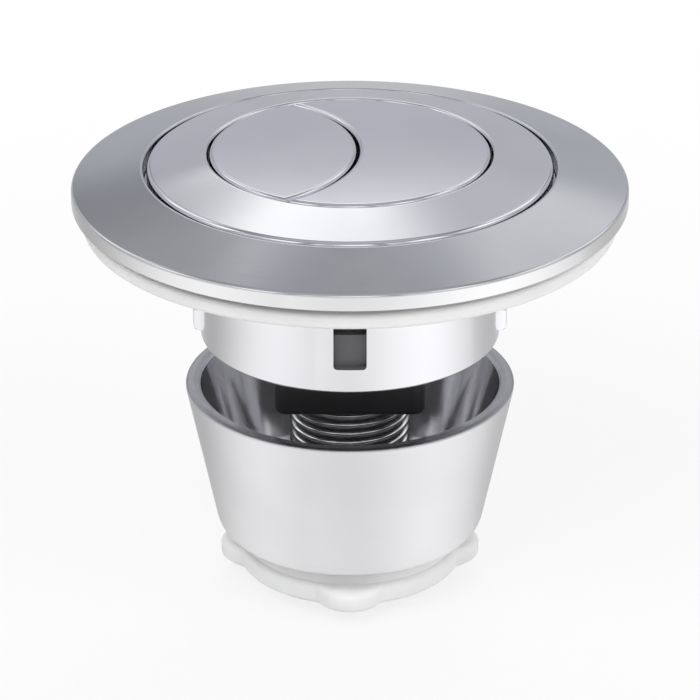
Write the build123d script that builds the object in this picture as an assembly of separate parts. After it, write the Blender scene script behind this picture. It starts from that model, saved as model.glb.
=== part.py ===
from build123d import *
import os
from math import degrees, radians, sqrt, tan

# Dual flush push button for a cistern lid. Millimetres, +Z up, the front at -Y.
# The origin is on the button's axis, in the plane of the gasket's underside.

# Gasket
gasket_rim_height = 3.2
gasket_edge_height = 2.0
gasket_ledge_height = 1.9
gasket_slope_width = 3.4
gasket_set_back = 1.4
gasket_bevel = 0.4
gasket_clearance = 0.1

# Cover ring
ring_width = 9.7
ring_rim_height = 2.3
ring_rim_wall = 2.1
ring_plate = 1.9
ring_pot_wall = 1.4
ring_pot_clearance = 0.15
ring_web = 2.0
ring_floor = 1.8
ring_ledge_height = 1.9
ring_bevel = 0.35
ring_hole_clearance = 0.2

# Housing: a flange and a barrel
flange_width = 6.95
flange_rim_height = 2.6
flange_rise = 1.85
flange_plate = 2.0
flange_rim_wall = 2.0
flange_seat_width = 0.75
flange_clearance = 0.45
flange_bevel = 0.5
barrel_radius = 20.4
barrel_wall = 1.2
barrel_floor = 2.5
barrel_bevel = 0.5
opening_bevel = 0.35
slot_width = 4.4
slot_drop = 1.5
slot_foot = 1.0
slot_corner = 0.5
lug_proud = 1.0
lug_width = 6.0
lug_height = 5.2
lug_ramp = 2.3
lug_foot = 1.2

# Threaded stem, with a pipe thread of 3/8 above and 1/4 below
stem_radius = 8.33
stem_length = 20.0
stem_bevel = 0.8
stem_flange_width = 1.1
stem_flange = 2.0
stem_washer_thickness = 1.0
spigot_radius = 6.58
spigot_length = 16.7
spigot_chamfer = 2.2
thread_clearance = 0.05

# Square backnut
backnut_width = 20.5
backnut_height = 8.2
backnut_corner = 1.7
backnut_bevel = 0.8

# Clamp cup and clamp nut
cup_rim_radius = 22.7
cup_rim_width = 2.05
cup_height = 22.0
cup_taper_degrees = 11.9
cup_floor = 2.0
cup_foot_round = 3.0
cup_corner_bevel = 1.2
cup_rim_bevel = 0.25
cup_hole_clearance = 0.3
nut_height = 5.2
nut_foot_radius = 15.5
nut_rim_radius = 14.2
nut_rim_wall = 1.2
nut_collar_wall = 1.9
nut_web = 1.6
nut_groove_bevel = 0.7
nut_bevel = 0.3
nut_thread_margin = 0.1
lobe_proud = 2.5
lobe_radius = 4.4
lobe_height = 3.0
lobe_blend = 3.0
lobe_bevel = 0.8

# Button caps
cap_gap = 0.3
cap_height = 4.5
cap_wall = 1.2
cap_roof = 1.2
cap_crown = 0.3
cap_bevel = 0.5
cap_corner_round = 0.6
divide_radius = 20.1
divide_reach = 1.1
divide_gap = 0.4

# Plungers, rods and their screws
button_travel = 5.0
plunger_fit = 0.1
plate_thickness = 2.2
carrier_thickness = 3.1
carrier_wall = 2.1
carrier_clearance = 0.45
column_width = 7.0
column_clearance = 0.6
hook_width = 3.2
hook_height = 3.1
hook_leg = 1.5
hook_set_in = 0.2
hook_gap = 0.05
rod_radius = 3.5
rod_gap = 0.3
rod_clearance = 0.1
rod_socket = 1.0
rod_set_in = 0.5
rod_bevel = 0.4
screw_radius = 1.0
screw_head_radius = 1.3
screw_head = 1.1
screw_length = 6.0
screw_fit = 0.03

# Guide insert, its screws and the return springs
insert_roof = 2.5
insert_clearance = 0.15
insert_screw_radius = 1.25
insert_screw_head_radius = 2.4
insert_screw_head = 1.8
insert_screw_reach = 2.0
insert_screw_edge = 5.0
spring_radius = 3.0
spring_wire = 0.7
spring_turns = 6
spring_pocket = 2.0
spring_clearance = 0.3
spring_peg = 2.0

# Levels, from the gasket's underside up to the buttons
seat_z = gasket_ledge_height + ring_floor + ring_ledge_height
rim_z = seat_z + flange_rim_height
crown_z = rim_z + flange_rise
apex_z = crown_z + cap_crown
roof_z = crown_z - cap_roof
plate_z = roof_z - plate_thickness
skirt_z = crown_z - cap_height
slot_z = skirt_z - slot_drop
hook_z = slot_z - hook_gap - hook_height

# Levels down the barrel: a pressed button clears the other's carrier, and a carrier the guide insert
carrier_top_z = skirt_z - button_travel - carrier_clearance
carrier_z = carrier_top_z - carrier_thickness
rod_top_z = carrier_z + rod_socket
screw_seat_z = carrier_top_z - screw_head
insert_z = carrier_z - button_travel - carrier_clearance
pocket_z = insert_z - spring_pocket
flange_top_z = insert_z - insert_roof
flange_foot_z = flange_top_z - stem_flange
floor_z = flange_foot_z - stem_washer_thickness
barrel_z = floor_z - barrel_floor
shoulder_z = barrel_z - stem_length
tip_z = shoulder_z - spigot_length

# Levels of the clamp, with the nut run down to the end of the spigot's thread
nut_z = tip_z + spigot_chamfer - nut_thread_margin
cup_z = nut_z + nut_height
cup_rim_z = cup_z + cup_height

# Radii and offsets that follow from the fits
bore_radius = barrel_radius - barrel_wall
cap_radius = bore_radius - cap_gap
flange_radius = barrel_radius + flange_width
recess_radius = flange_radius + flange_clearance
ledge_radius = flange_radius - flange_seat_width
ring_radius = recess_radius + ring_width
pot_radius = ledge_radius + ring_pot_wall
ring_hole_radius = barrel_radius + lug_proud + ring_hole_clearance
stem_hole_radius = stem_radius + thread_clearance
stem_bore_radius = rod_radius + rod_clearance
stem_flange_radius = stem_radius + stem_flange_width
divide_x = divide_reach - divide_radius
rod_x = (rod_gap / 2 + rod_radius) / 2
hook_radius = cap_radius - cap_wall - 2 * plunger_fit
spring_x = hook_radius - hook_leg - spring_clearance - spring_radius
insert_screw_y = bore_radius - insert_screw_edge


def turned(corners):
    """Revolve a closed outline of (radius, height) corners, which may add "round" or "bevel" and a size."""
    places = [Vector(radius, height) for radius, height, *_ in corners]
    points, radii = [], []
    for i, (_, _, *finish) in enumerate(corners):
        kind, size = finish or ("round", 0)
        if kind == "round":
            points.append(places[i])
            radii.append(size)
            continue
        for near in (places[i - 1], places[(i + 1) % len(places)]):
            points.append(places[i] + (near - places[i]).normalized() * size)
            radii.append(0)
    outline = Plane.XZ * FilletPolyline(*points, radius=radii, close=True)
    return revolve(make_face(outline), Axis.Z)


def drum(radius, low, high, x=0, y=0):
    centred = (Align.CENTER, Align.CENTER, Align.MIN)
    return Pos(x, y, low) * Cylinder(radius, high - low, align=centred)


def slab(low, high):
    size = [b - a for a, b in zip(low, high)]
    return Pos(*low) * Box(*size, align=(Align.MIN, Align.MIN, Align.MIN))


def slope_at(radius, inner, outer):
    """Height at a radius on the cone through two (radius, height) points."""
    share = (radius - inner[0]) / (outer[0] - inner[0])
    return inner[1] + share * (outer[1] - inner[1])


def gasket():
    hole = barrel_radius + gasket_clearance
    outer = ring_radius - gasket_set_back
    step = pot_radius + ring_pot_clearance
    return turned(
        [
            (hole, 0),
            (outer, 0, "bevel", gasket_bevel),
            (outer, gasket_edge_height, "bevel", gasket_bevel),
            (outer - gasket_slope_width, gasket_rim_height, "bevel", gasket_bevel),
            (step, gasket_rim_height, "bevel", gasket_bevel),
            (step, gasket_ledge_height),
            (hole, gasket_ledge_height),
        ]
    )


def cover_ring():
    inner = (recess_radius, rim_z)
    outer = (ring_radius, gasket_rim_height + ring_rim_height)
    groove_in = pot_radius + ring_web
    groove_out = ring_radius - ring_rim_wall
    floor_top = gasket_ledge_height + ring_floor
    return turned(
        [
            (ring_hole_radius, gasket_ledge_height),
            (pot_radius, gasket_ledge_height),
            (pot_radius, gasket_rim_height),
            (groove_in, gasket_rim_height),
            (groove_in, slope_at(groove_in, inner, outer) - ring_plate),
            (groove_out, slope_at(groove_out, inner, outer) - ring_plate),
            (groove_out, gasket_rim_height),
            (ring_radius, gasket_rim_height, "bevel", ring_bevel),
            (*outer, "bevel", ring_bevel),
            (*inner, "bevel", ring_bevel),
            (recess_radius, seat_z),
            (ledge_radius, seat_z),
            (ledge_radius, floor_top),
            (ring_hole_radius, floor_top),
        ]
    )


def wall_slot(low, high, angle):
    """A rounded window through the barrel wall, facing the angle given."""
    outline = RectangleRounded(slot_width, high - low, slot_corner)
    inside = bore_radius - barrel_wall
    outside = barrel_radius + barrel_wall
    window = extrude(Plane.YZ * outline, outside - inside)
    return Rot(0, 0, angle) * Pos(inside, 0, (low + high) / 2) * window


def side_lug(angle):
    """A snap lug: a ramp out of the barrel wall, then a straight foot."""
    foot = barrel_z + lug_foot
    head = foot + lug_height
    root = barrel_radius - barrel_wall / 2
    proud = barrel_radius + lug_proud
    outline = Plane.XZ * Polyline(
        (root, head), (barrel_radius, head), (proud, head - lug_ramp), (proud, foot), (root, foot), close=True
    )
    sweep_degrees = degrees(lug_width / barrel_radius)
    wedge = revolve(make_face(outline), Axis.Z, sweep_degrees)
    return Rot(0, 0, angle - sweep_degrees / 2) * wedge


def housing():
    inner, outer = (bore_radius, crown_z), (flange_radius, rim_z)
    hollow = flange_radius - flange_rim_wall
    body = turned(
        [
            (bore_radius, floor_z),
            (*inner, "bevel", opening_bevel),
            (*outer, "bevel", flange_bevel),
            (flange_radius, seat_z, "bevel", flange_bevel),
            (hollow, seat_z),
            (hollow, slope_at(hollow, inner, outer) - flange_plate),
            (barrel_radius, slope_at(barrel_radius, inner, outer) - flange_plate),
            (barrel_radius, barrel_z, "bevel", barrel_bevel),
            (stem_hole_radius, barrel_z),
            (stem_hole_radius, floor_z),
        ]
    )
    for angle in (0, 180):
        body += side_lug(angle)
    for angle in (-90, 90):
        body -= wall_slot(floor_z + slot_foot, slot_z, angle)
    body -= wall_slot(hook_z - button_travel - slot_foot, slot_z, 180)
    for y in (-insert_screw_y, insert_screw_y):
        body -= drum(insert_screw_radius + screw_fit, floor_z - insert_screw_reach, floor_z, 0, y)
    return body


def threaded_stem():
    return turned(
        [
            (stem_bore_radius, flange_top_z),
            (stem_flange_radius, flange_top_z),
            (stem_flange_radius, flange_foot_z),
            (stem_radius, flange_foot_z),
            (stem_radius, shoulder_z, "bevel", stem_bevel),
            (spigot_radius, shoulder_z),
            (spigot_radius, tip_z, "bevel", spigot_chamfer),
            (stem_bore_radius, tip_z),
        ]
    )


def stem_washer():
    return drum(stem_flange_radius, floor_z, flange_foot_z) - drum(stem_hole_radius, floor_z, flange_foot_z)


def backnut():
    outline = RectangleRounded(backnut_width, backnut_width, backnut_corner)
    low = barrel_z - backnut_height
    body = Pos(0, 0, low) * extrude(outline, backnut_height)
    ends = body.faces().sort_by(Axis.Z)
    body = chamfer(ends[0].edges() + ends[-1].edges(), backnut_bevel)
    return body - drum(stem_hole_radius, low, barrel_z)


def clamp_cup():
    taper = tan(radians(cup_taper_degrees))
    hole = spigot_radius + cup_hole_clearance
    inner = cup_rim_radius - cup_rim_width
    floor_top = cup_z + cup_floor
    return turned(
        [
            (hole, cup_z),
            (cup_rim_radius - cup_height * taper, cup_z, "round", cup_foot_round),
            (cup_rim_radius, cup_rim_z, "bevel", cup_rim_bevel),
            (inner, cup_rim_z, "bevel", cup_rim_bevel),
            (inner - (cup_rim_z - floor_top) * taper, floor_top, "bevel", cup_corner_bevel),
            (hole, floor_top),
        ]
    )


def clamp_nut():
    bore = spigot_radius + thread_clearance
    web = nut_z + nut_web
    collar = bore + nut_collar_wall
    groove = nut_rim_radius - nut_rim_wall
    body = turned(
        [
            (bore, nut_z, "bevel", nut_bevel),
            (nut_foot_radius, nut_z, "bevel", nut_bevel),
            (nut_rim_radius, cup_z, "bevel", nut_bevel),
            (groove, cup_z),
            (groove, web, "bevel", nut_groove_bevel),
            (collar, web, "bevel", nut_groove_bevel),
            (collar, cup_z),
            (bore, cup_z, "bevel", nut_bevel),
        ]
    )
    lobe = Pos(nut_foot_radius + lobe_proud - lobe_radius, 0) * Circle(lobe_radius)
    plan = Circle(nut_foot_radius)
    for angle in (0, 90, 180, 270):
        plan += Rot(0, 0, angle) * lobe
    # The tips of the lobes lie on the X and Y axes and the valleys stand off them
    valleys = [v for v in plan.vertices() if min(abs(v.X), abs(v.Y)) > lobe_radius / 2]
    plan = fillet(valleys, lobe_blend)
    lobes = Pos(0, 0, nut_z) * extrude(plan, lobe_height)
    ends = lobes.faces().sort_by(Axis.Z)
    lobes = chamfer(ends[0].edges() + ends[-1].edges(), lobe_bevel)
    return body + (lobes - drum(groove + nut_rim_wall / 2, nut_z, cup_z))


def lens(inset):
    """Plan of the half flush button, drawn in from its edge by the inset."""
    divide = Pos(divide_x, 0) * Circle(divide_radius - divide_gap / 2 - inset)
    return Circle(cap_radius - inset) & divide


def crescent(inset):
    """Plan of the full flush button, drawn in from its edge by the inset."""
    divide = Pos(divide_x, 0) * Circle(divide_radius + divide_gap / 2 + inset)
    return Circle(cap_radius - inset) - divide


def crown():
    """The slightly domed blank with a bevelled edge that both button faces are cut from."""
    sphere_radius = (cap_radius**2 + cap_crown**2) / (2 * cap_crown)
    halfway = apex_z - sphere_radius + sqrt(sphere_radius**2 - (cap_radius / 2) ** 2)
    dome = ThreePointArc((cap_radius, crown_z), (cap_radius / 2, halfway), (0, apex_z))
    sides = Polyline((0, apex_z), (0, skirt_z), (cap_radius, skirt_z), (cap_radius, crown_z))
    edge = turned(
        [
            (0, skirt_z),
            (cap_radius, skirt_z),
            (cap_radius, crown_z, "bevel", cap_bevel),
            (cap_radius - 2 * cap_bevel, apex_z),
            (0, apex_z),
        ]
    )
    return revolve(Plane.XZ * make_face(dome + sides), Axis.Z) & edge


def button_blank(plan):
    outline = plan(0)
    corners = [v for v in outline.vertices() if abs(v.Y) > divide_reach]
    outline = fillet(corners, cap_corner_round)
    body = crown() & (Pos(0, 0, skirt_z) * extrude(outline, cap_height + cap_crown))
    return body - Pos(0, 0, skirt_z) * extrude(plan(cap_wall), roof_z - skirt_z)


def half_flush_cap():
    radius = divide_radius - divide_gap / 2
    wall = turned([(0, skirt_z), (radius, skirt_z), (radius, apex_z, "bevel", cap_bevel), (0, apex_z)])
    return button_blank(lens) & Pos(divide_x, 0, 0) * wall


def full_flush_cap():
    radius = divide_radius + divide_gap / 2
    flare = (radius + cap_bevel, apex_z)
    wall = turned([(0, skirt_z), (radius, skirt_z), (radius, apex_z - cap_bevel), flare, (0, apex_z)])
    return button_blank(crescent) - Pos(divide_x, 0, 0) * wall


def hook(angle):
    """A leg down the barrel's inside with a stop that stands out into the wall slot."""
    half = hook_width / 2
    inner = hook_radius - hook_leg
    leg = slab((inner, -half, hook_z), (hook_radius, half, plate_z + plate_thickness))
    stop = slab((inner, -half, hook_z), (barrel_radius - hook_set_in, half, hook_z + hook_height))
    return Rot(0, 0, angle) * (leg + stop)


def half_space(side, low, high):
    """The room on one side of the gap between the rods. The side is -1 or 1 in X."""
    reach = barrel_radius
    return Pos(side * (rod_gap + reach) / 2, 0, (low + high) / 2) * Box(reach, 2 * reach, high - low)


def plunger(side, plan, hook_angles):
    """Carrier under a cap: plate, column, rod socket, spring peg and hooks."""
    collar = rod_radius + carrier_wall
    column = spring_x - spring_radius - column_clearance - rod_radius
    body = Pos(0, 0, plate_z) * extrude(plan(cap_wall + plunger_fit), plate_thickness)
    body += Pos(side * (rod_radius + column / 2), 0, (carrier_z + roof_z) / 2) * Box(
        column, column_width, roof_z - carrier_z
    )
    room = half_space(side, carrier_z, carrier_top_z)
    body += drum(collar, carrier_z, carrier_top_z) & room
    body -= drum(rod_radius + screw_fit, carrier_z, rod_top_z) & room
    body -= drum(screw_radius + plunger_fit, rod_top_z, carrier_top_z, side * rod_x)
    body -= drum(screw_head_radius + plunger_fit, screw_seat_z, carrier_top_z, side * rod_x)
    peg = spring_radius - spring_wire - spring_clearance
    body += drum(peg, plate_z - spring_peg, plate_z, side * spring_x)
    for angle in hook_angles:
        body += hook(angle)
    return body


def push_rod(side):
    """D rod, its flat towards the other rod."""
    rod = drum(rod_radius, tip_z + rod_set_in, rod_top_z)
    rod = chamfer(rod.edges().sort_by(Axis.Z)[0], rod_bevel)
    rod &= half_space(side, tip_z, rod_top_z)
    return rod - drum(screw_radius + screw_fit, screw_seat_z - screw_length, rod_top_z, side * rod_x)


def rod_screw(side):
    shank = drum(screw_radius, screw_seat_z - screw_length, screw_seat_z, side * rod_x)
    return shank + drum(screw_head_radius, screw_seat_z, carrier_top_z, side * rod_x)


def guide_insert():
    body = drum(bore_radius - insert_clearance, floor_z, insert_z)
    body -= drum(stem_flange_radius + insert_clearance, floor_z, flange_top_z)
    body -= drum(stem_bore_radius, flange_top_z, insert_z)
    for x in (-spring_x, spring_x):
        body -= drum(spring_radius + spring_clearance, pocket_z, insert_z, x)
    head = insert_screw_head_radius + insert_clearance
    for y in (-insert_screw_y, insert_screw_y):
        body -= drum(insert_screw_radius + insert_clearance, floor_z, insert_z, 0, y)
        body -= drum(head, insert_z - insert_screw_head, insert_z, 0, y)
    return body


def insert_screws():
    seat = insert_z - insert_screw_head
    screws = []
    for y in (-insert_screw_y, insert_screw_y):
        shank = drum(insert_screw_radius, floor_z - insert_screw_reach, seat, 0, y)
        screws.append(shank + drum(insert_screw_head_radius, seat, insert_z, 0, y))
    return Compound(children=screws)


def return_spring(side):
    """A coil from the insert's pocket up to the plunger's plate."""
    low = pocket_z + spring_wire / 2
    height = plate_z - spring_wire / 2 - low
    path = Helix(height / spring_turns, height, spring_radius - spring_wire / 2)
    section = Plane(path @ 0, z_dir=path % 0) * RegularPolygon(spring_wire / 2, 6)
    coil = sweep(section, path, is_frenet=True)
    return Pos(side * spring_x, 0, low) * coil


pieces = {
    "gasket": gasket(),
    "cover_ring": cover_ring(),
    "housing": housing(),
    "threaded_stem": threaded_stem(),
    "stem_washer": stem_washer(),
    "backnut": backnut(),
    "clamp_cup": clamp_cup(),
    "clamp_nut": clamp_nut(),
    "half_flush_cap": half_flush_cap(),
    "full_flush_cap": full_flush_cap(),
    "half_flush_plunger": plunger(-1, lens, [180]),
    "full_flush_plunger": plunger(1, crescent, [-90, 90]),
    "half_flush_rod": push_rod(-1),
    "full_flush_rod": push_rod(1),
    "half_rod_screw": rod_screw(-1),
    "full_rod_screw": rod_screw(1),
    "half_flush_spring": return_spring(-1),
    "full_flush_spring": return_spring(1),
    "guide_insert": guide_insert(),
    "insert_screws": insert_screws(),
}

os.makedirs("parts", exist_ok=True)
for name, shape in pieces.items():
    export_step(shape, f"parts/{name}.step")
    print(name, round(shape.volume, 1), shape.is_valid)
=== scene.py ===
import bmesh
import bpy
import numpy as np
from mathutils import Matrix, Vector


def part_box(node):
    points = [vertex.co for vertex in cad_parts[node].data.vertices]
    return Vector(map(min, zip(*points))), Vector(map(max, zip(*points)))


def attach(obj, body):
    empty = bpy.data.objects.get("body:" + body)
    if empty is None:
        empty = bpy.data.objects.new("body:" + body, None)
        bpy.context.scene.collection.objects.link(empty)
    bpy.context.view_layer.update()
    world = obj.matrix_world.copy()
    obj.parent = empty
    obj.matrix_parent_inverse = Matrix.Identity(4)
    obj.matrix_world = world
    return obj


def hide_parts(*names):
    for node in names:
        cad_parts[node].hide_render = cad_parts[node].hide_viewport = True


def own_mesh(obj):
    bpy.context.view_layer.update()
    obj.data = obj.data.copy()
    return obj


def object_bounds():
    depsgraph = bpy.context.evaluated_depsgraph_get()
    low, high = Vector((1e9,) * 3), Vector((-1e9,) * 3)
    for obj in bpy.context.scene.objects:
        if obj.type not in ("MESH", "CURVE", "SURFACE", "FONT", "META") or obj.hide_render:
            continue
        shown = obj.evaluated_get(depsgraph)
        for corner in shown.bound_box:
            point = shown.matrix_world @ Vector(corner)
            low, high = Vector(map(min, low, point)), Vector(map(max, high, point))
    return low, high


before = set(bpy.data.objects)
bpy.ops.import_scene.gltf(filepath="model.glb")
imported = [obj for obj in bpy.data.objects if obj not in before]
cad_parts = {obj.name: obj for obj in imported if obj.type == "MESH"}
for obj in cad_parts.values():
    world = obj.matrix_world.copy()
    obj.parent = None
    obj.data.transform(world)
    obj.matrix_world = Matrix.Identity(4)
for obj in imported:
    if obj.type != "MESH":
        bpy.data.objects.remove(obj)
cadLow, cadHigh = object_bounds()
mm = 0.001
micron = 0.000001
turn = 2 * np.pi
quarter = np.pi / 2


# Levels and radii of a CAD piece at rest, in millimetres
def lowOf(node):
    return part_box(node)[0].z / mm


def topOf(node):
    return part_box(node)[1].z / mm


def radiusOf(node):
    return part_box(node)[1].y / mm


# Node trees are filled through the next few functions
def addNode(tree, kind, **values):
    made = tree.nodes.new(kind)
    for key, value in values.items():
        setattr(made, key, value)
    return made


def setInput(node, name, value):
    node.inputs[name].default_value = value


# An input takes a socket, a number or a colour
def feed(tree, socket, value):
    if isinstance(value, bpy.types.NodeSocket):
        tree.links.new(value, socket)
    elif isinstance(value, tuple):
        socket.default_value = (*value, 1)
    else:
        socket.default_value = float(value)


def mathNode(tree, operation, *values):
    made = addNode(tree, "ShaderNodeMath", operation=operation)
    for socket, value in zip(made.inputs, values):
        feed(tree, socket, value)
    return made.outputs[0]


def colourMix(tree, factor, first, second):
    mix = addNode(tree, "ShaderNodeMix", data_type="RGBA")
    for name, value in (("Factor", factor), ("A", first), ("B", second)):
        feed(tree, mix.inputs[name], value)
    return mix.outputs["Result"]


def softStep(tree, value, low, high):
    step = addNode(tree, "ShaderNodeMapRange", interpolation_type="SMOOTHSTEP")
    setInput(step, "From Min", low)
    setInput(step, "From Max", high)
    feed(tree, step.inputs["Value"], value)
    return step.outputs["Result"]


def noiseNode(tree, vector, scale, detail):
    noise = addNode(tree, "ShaderNodeTexNoise")
    setInput(noise, "Scale", scale)
    setInput(noise, "Detail", detail)
    feed(tree, noise.inputs["Vector"], vector)
    return noise.outputs["Fac"]


def objectPlace(tree):
    return addNode(tree, "ShaderNodeTexCoord").outputs["Object"]


def axesOf(tree, vector):
    split = addNode(tree, "ShaderNodeSeparateXYZ")
    feed(tree, split.inputs[0], vector)
    return split.outputs


# Distance from the Z axis: the length of the place with its height taken out
def axisDistance(tree, place):
    flat = addNode(tree, "ShaderNodeVectorMath", operation="MULTIPLY")
    feed(tree, flat.inputs[0], place)
    flat.inputs[1].default_value = (1, 1, 0)
    length = addNode(tree, "ShaderNodeVectorMath", operation="LENGTH")
    feed(tree, length.inputs[0], flat.outputs[0])
    return length.outputs["Value"]


def newGroup(name, inputs, outputs):
    group = bpy.data.node_groups.new(name, "ShaderNodeTree")
    for label, kind in inputs.items():
        group.interface.new_socket(label, in_out="INPUT", socket_type="NodeSocket" + kind)
    for label, kind in outputs.items():
        group.interface.new_socket(label, in_out="OUTPUT", socket_type="NodeSocket" + kind)
    return group, group.nodes.new("NodeGroupInput").outputs, group.nodes.new("NodeGroupOutput").inputs


surfaceOutputs = {"colour": "Color", "roughness": "Float", "height": "Float"}
# Slow noise stays near its middle, so this range of it is stretched from one tone to the other
driftRange = (0.3, 0.7)

# Thin plating over a turned surface. A slow drift tints it, cloudy smudges raised to a power lift its
# roughness, fine lines run round the axis (noise of radius and height alone), and the plate is a little
# wavy. A noise is (cells per metre, detail), and heights are micrometres.
platingNoise = {"lines": (2400, 1), "waves": (420, 1), "drift": (38, 3), "smudges": (95, 5)}
smudgePower = 2
platingInputs = {
    "light": "Color", "dark": "Color", "smooth": "Float", "smudge": "Float",
    "lines": "Float", "waves": "Float",
}


def platingGroup():
    group, given, out = newGroup("platedSurface", platingInputs, surfaceOutputs)
    place = objectPlace(group)
    polar = addNode(group, "ShaderNodeCombineXYZ")
    feed(group, polar.inputs["X"], axisDistance(group, place))
    feed(group, polar.inputs["Z"], axesOf(group, place)["Z"])
    lines = noiseNode(group, polar.outputs[0], *platingNoise["lines"])
    waves = noiseNode(group, place, *platingNoise["waves"])
    drift = softStep(group, noiseNode(group, place, *platingNoise["drift"]), *driftRange)
    smudges = mathNode(group, "POWER", noiseNode(group, place, *platingNoise["smudges"]), smudgePower)
    feed(group, out["colour"], colourMix(group, drift, given["dark"], given["light"]))
    rough = mathNode(group, "MULTIPLY_ADD", smudges, given["smudge"], given["smooth"])
    feed(group, out["roughness"], rough)
    height = mathNode(group, "MULTIPLY", lines, given["lines"])
    feed(group, out["height"], mathNode(group, "MULTIPLY_ADD", waves, given["waves"], height))
    return group


# Moulded plastic: fine spark grain for the bump, and slow flow marks in tone and gloss
mouldNoise = {"grain": (2600, 2), "flow": (70, 4)}
mouldInputs = {"light": "Color", "dark": "Color", "smooth": "Float", "flow": "Float", "grain": "Float"}


def mouldGroup():
    group, given, out = newGroup("mouldedSurface", mouldInputs, surfaceOutputs)
    place = objectPlace(group)
    grain = noiseNode(group, place, *mouldNoise["grain"])
    flow = softStep(group, noiseNode(group, place, *mouldNoise["flow"]), *driftRange)
    feed(group, out["colour"], colourMix(group, flow, given["dark"], given["light"]))
    rough = mathNode(group, "MULTIPLY_ADD", flow, given["flow"], given["smooth"])
    feed(group, out["roughness"], rough)
    feed(group, out["height"], mathNode(group, "MULTIPLY", grain, given["grain"]))
    return group


def shaderOf(material):
    return material.node_tree.nodes["Principled BSDF"]


# A finish is one group feeding colour, roughness and bump. What is plain goes on the shader itself.
def newFinish(name, group, settings, plain):
    material = bpy.data.materials.new(name)
    material.use_nodes = True
    tree = material.node_tree
    shader = shaderOf(material)
    surface = addNode(tree, "ShaderNodeGroup", node_tree=group)
    for key, value in settings.items():
        feed(tree, surface.inputs[key], value)
    bump = addNode(tree, "ShaderNodeBump")
    setInput(bump, "Strength", 1)
    setInput(bump, "Distance", micron)
    feed(tree, bump.inputs["Height"], surface.outputs["height"])
    feed(tree, shader.inputs["Base Color"], surface.outputs["colour"])
    feed(tree, shader.inputs["Roughness"], surface.outputs["roughness"])
    feed(tree, shader.inputs["Normal"], bump.outputs["Normal"])
    for key, value in plain.items():
        setInput(shader, key, value)
    return material


# Lays a tone over a finish by one mask, and adds to its roughness by another
def overlay(material, toneMask, tone, roughMask, rougher):
    tree, inputs = material.node_tree, shaderOf(material).inputs
    colour, gloss = inputs["Base Color"], inputs["Roughness"]
    feed(tree, colour, colourMix(tree, toneMask, colour.links[0].from_socket, tone))
    feed(tree, gloss, mathNode(tree, "MULTIPLY_ADD", roughMask, rougher, gloss.links[0].from_socket))


plating = {
    "button": {
        "light": (0.87, 0.87, 0.90), "dark": (0.82, 0.82, 0.86), "smooth": 0.14, "lines": 0.8, "waves": 2.0,
    },
    "housing": {
        "light": (0.88, 0.88, 0.90), "dark": (0.83, 0.83, 0.86), "smooth": 0.09, "lines": 0.8, "waves": 2.0,
    },
    "ring": {
        "light": (0.74, 0.75, 0.77), "dark": (0.66, 0.67, 0.70), "smooth": 0.17, "lines": 1.6, "waves": 2.0,
    },
    "stem": {
        "light": (0.88, 0.88, 0.88), "dark": (0.78, 0.78, 0.79), "smooth": 0.16, "lines": 1.0, "waves": 3.0,
    },
    "cup": {
        "light": (0.87, 0.87, 0.88), "dark": (0.80, 0.80, 0.82), "smooth": 0.06, "lines": 1.6, "waves": 8.0,
    },
    "steel": {
        "light": (0.60, 0.60, 0.60), "dark": (0.50, 0.50, 0.51), "smooth": 0.28, "lines": 1.6, "waves": 3.0,
    },
}
moulding = {
    "seal": {"light": (0.90, 0.90, 0.895), "dark": (0.85, 0.85, 0.845), "smooth": 0.38, "grain": 3.0},
    "nut": {"light": (0.88, 0.88, 0.88), "dark": (0.83, 0.83, 0.83), "smooth": 0.36, "grain": 3.5},
    "block": {"light": (0.022, 0.022, 0.024), "dark": (0.014, 0.014, 0.016), "smooth": 0.42, "grain": 8.0},
    "plunger": {"light": (0.72, 0.73, 0.74), "dark": (0.64, 0.65, 0.66), "smooth": 0.40, "grain": 4.0},
    "rod": {"light": (0.82, 0.82, 0.80), "dark": (0.74, 0.74, 0.72), "smooth": 0.35, "grain": 3.0},
    "insert": {"light": (0.16, 0.16, 0.17), "dark": (0.12, 0.12, 0.13), "smooth": 0.45, "grain": 6.0},
    "washer": {"light": (0.04, 0.04, 0.04), "dark": (0.025, 0.025, 0.025), "smooth": 0.60, "grain": 6.0},
}
smudgeRough = 0.06
flowRough = 0.10
# Natural white plastic lets light in about a millimetre deep
whiteMouldings = ("seal", "nut")
softWhite = {"Subsurface Weight": 0.3, "Subsurface Scale": 1.2 * mm, "Subsurface Radius": (1, 0.95, 0.9)}


def makeFinishes():
    plated, moulded = platingGroup(), mouldGroup()
    made = {}
    for name, settings in plating.items():
        given = {**settings, "smudge": smudgeRough}
        made[name] = newFinish(name + "Plating", plated, given, {"Metallic": 1})
    for name, settings in moulding.items():
        given = {**settings, "flow": flowRough}
        plain = softWhite if name in whiteMouldings else {}
        made[name] = newFinish(name + "Moulding", moulded, given, plain)
    print("finishes:", len(made))
    return made


finishes = makeFinishes()


# Adds a group of masks to a finish's material
def addMasks(finish, group):
    return addNode(finishes[finish].node_tree, "ShaderNodeGroup", node_tree=group).outputs


# A round in a profile has this many steps, and narrow guard strips beside it keep the flats shaded flat
arcSteps = 6
guardWidth = 0.06


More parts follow.
